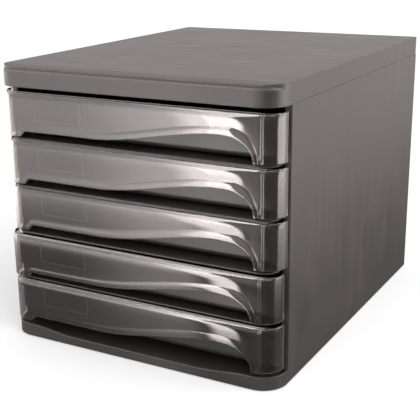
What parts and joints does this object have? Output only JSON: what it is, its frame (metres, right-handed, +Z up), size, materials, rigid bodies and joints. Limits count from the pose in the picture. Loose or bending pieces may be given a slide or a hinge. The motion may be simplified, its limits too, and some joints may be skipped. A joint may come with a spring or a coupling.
{
  "type": "desktop drawer tower",
  "caption": "Desktop drawer tower: a bevel-topped housing with stacked sliding trays, each behind a smoke front whose lower edge rises in a wave as a finger pull.",
  "frame": {"origin": "centre of the housing's footprint, on the surface it stands on", "axes": "+X to the right seen from the front, +Y from the drawer fronts to the back panel, +Z up"},
  "size_m": [0.285, 0.3634, 0.263],
  "materials": {
    "housing": "satin, fine texture",
    "tray": "satin",
    "smoke": "glossy smoke-tinted transparent styrene",
    "rubber": "matt"
  },
  "bodies": {
    "housing": {"base": "housing", "side_panel_left": "housing", "side_panel_right": "housing", "back_panel": "housing", "top_cover": "housing", "shelf_1": "housing", "shelf_2": "housing", "shelf_3": "housing", "shelf_4": "housing", "foot_front_left": "rubber", "foot_front_right": "rubber", "foot_rear_left": "rubber", "foot_rear_right": "rubber"},
    "drawer_1": {"drawer_tray_1": "tray", "drawer_front_1": "smoke"},
    "drawer_2": {"drawer_tray_2": "tray", "drawer_front_2": "smoke"},
    "drawer_3": {"drawer_tray_3": "tray", "drawer_front_3": "smoke"},
    "drawer_4": {"drawer_tray_4": "tray", "drawer_front_4": "smoke"},
    "drawer_5": {"drawer_tray_5": "tray", "drawer_front_5": "smoke"}
  },
  "joints": [
    {"name": "drawer_1_slide", "type": "slide", "parent": "housing", "child": "drawer_1", "axis": [0, -1, 0], "range_m": [-0.003, 0.247]},
    {"name": "drawer_2_slide", "type": "slide", "parent": "housing", "child": "drawer_2", "axis": [0, -1, 0], "range_m": [-0.0015, 0.2485]},
    {"name": "drawer_3_slide", "type": "slide", "parent": "housing", "child": "drawer_3", "axis": [0, -1, 0], "range_m": [0, 0.25]},
    {"name": "drawer_4_slide", "type": "slide", "parent": "housing", "child": "drawer_4", "axis": [0, -1, 0], "range_m": [-0.006, 0.244]},
    {"name": "drawer_5_slide", "type": "slide", "parent": "housing", "child": "drawer_5", "axis": [0, -1, 0], "range_m": [-0.005, 0.245]}
  ]
}
